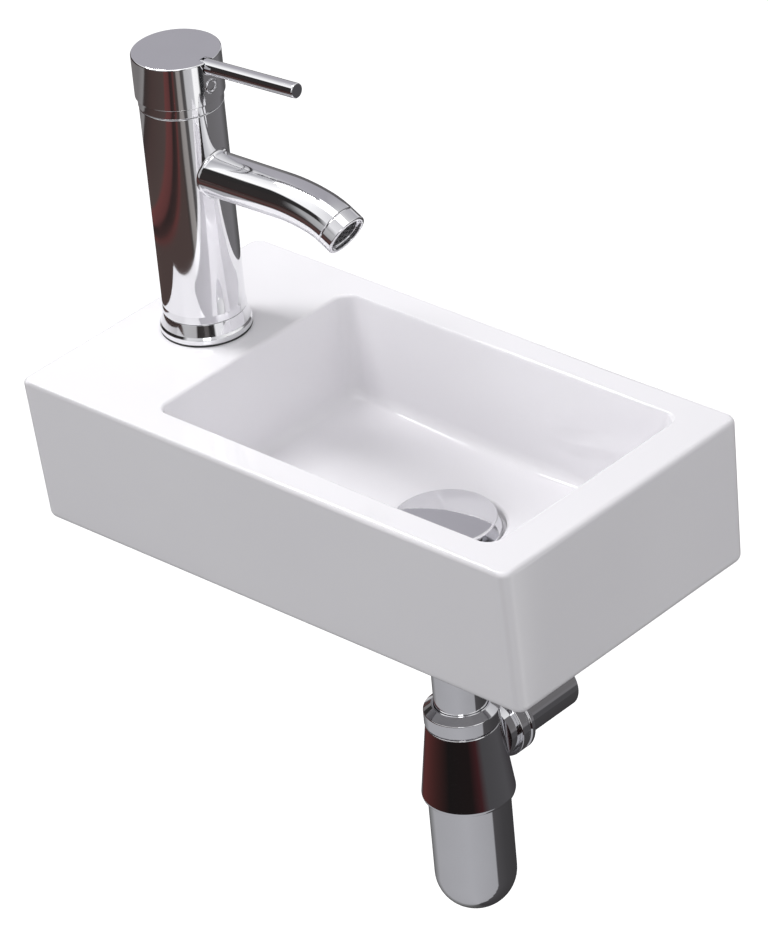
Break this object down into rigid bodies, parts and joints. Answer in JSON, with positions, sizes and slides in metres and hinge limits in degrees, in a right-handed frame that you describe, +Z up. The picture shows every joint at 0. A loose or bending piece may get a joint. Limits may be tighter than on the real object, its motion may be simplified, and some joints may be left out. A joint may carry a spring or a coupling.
{
  "type": "wall hung basin",
  "caption": "Small rectangular wall hung basin in white ceramic with a lever mixer tap on its left ledge, a push plug waste and a chromed bottle trap.",
  "frame": {"origin": "on the wall plane, midway between the two wall bolt holes", "axes": "+X along the wall to the right of someone facing the basin, +Y into the wall, +Z up"},
  "size_m": [0.37, 0.2, 0.5178],
  "materials": {
    "glaze": "glossy white glaze",
    "chrome": "polished chrome plate",
    "brass": "machined",
    "steel": "plain",
    "seal": "matte black",
    "white_plastic": "moulded",
    "jet_plastic": "moulded",
    "disc_ceramic": "lapped"
  },
  "bodies": {
    "fixed": {"basin_body": "glaze", "waste_flange_seal": "seal", "waste_body": "chrome", "waste_under_washer": "seal", "waste_back_nut": "brass", "plug_stem": "steel", "trap_inlet_nut": "chrome", "trap_inlet_washer": "seal", "trap_inlet_pipe": "chrome", "trap_collar_nut": "chrome", "trap_collar_washer": "seal", "trap_body": "chrome", "trap_bottle": "chrome", "trap_bottle_seal": "seal", "trap_outlet_nut": "chrome", "trap_outlet_washer": "seal", "trap_outlet_pipe": "chrome", "tap_body": "chrome", "tap_base_gasket": "seal", "tap_base_ring": "chrome", "tap_fixing_stud": "brass", "tap_fixing_gasket": "seal", "tap_fixing_plate": "steel", "tap_fixing_nut": "brass", "tap_collar": "chrome", "cartridge_port_seals": "seal", "cartridge_base": "white_plastic", "cartridge_fixed_disc": "disc_ceramic", "cartridge_shell": "white_plastic", "cartridge_nut": "brass", "aerator_ring": "chrome", "aerator_washer": "seal", "aerator_insert": "jet_plastic"},
    "plug": {"plug_cap": "chrome", "plug_seal": "seal", "plug_barrel": "brass", "plug_retainer": "white_plastic", "plug_spring": "steel"},
    "turner": {"cartridge_carrier": "white_plastic", "cartridge_pivot_pin": "steel"},
    "handle": {"handle_cap": "chrome", "handle_lever": "chrome", "handle_grub_screw": "steel", "handle_button": "chrome", "cartridge_spindle": "brass"},
    "mixing_disc": {"cartridge_moving_disc": "disc_ceramic", "cartridge_slider": "white_plastic"}
  },
  "joints": [
    {"name": "lever_swing", "type": "hinge", "parent": "fixed", "child": "turner", "pos_m": [-0.137, -0.093, 0.204], "axis": [0, 0, 1], "range_deg": [-45, 45]},
    {"name": "lever_lift", "type": "hinge", "parent": "turner", "child": "handle", "pos_m": [-0.137, -0.093, 0.204], "axis": [0, -1, 0], "range_deg": [0, 20]},
    {"name": "disc_slide", "type": "slide", "parent": "turner", "child": "mixing_disc", "axis": [1, 0, 0], "range_m": [0, 0.0046]},
    {"name": "plug_press", "type": "slide", "parent": "fixed", "child": "plug", "axis": [0, 0, 1], "range_m": [-0.006, 0], "stiffness_N_per_m": 400, "springref_m": 0.005, "deforming": ["plug_spring"]}
  ],
  "couplings": [
    {"joint": "disc_slide", "follows": "lever_lift", "m_per_rad": 0.013}
  ]
}
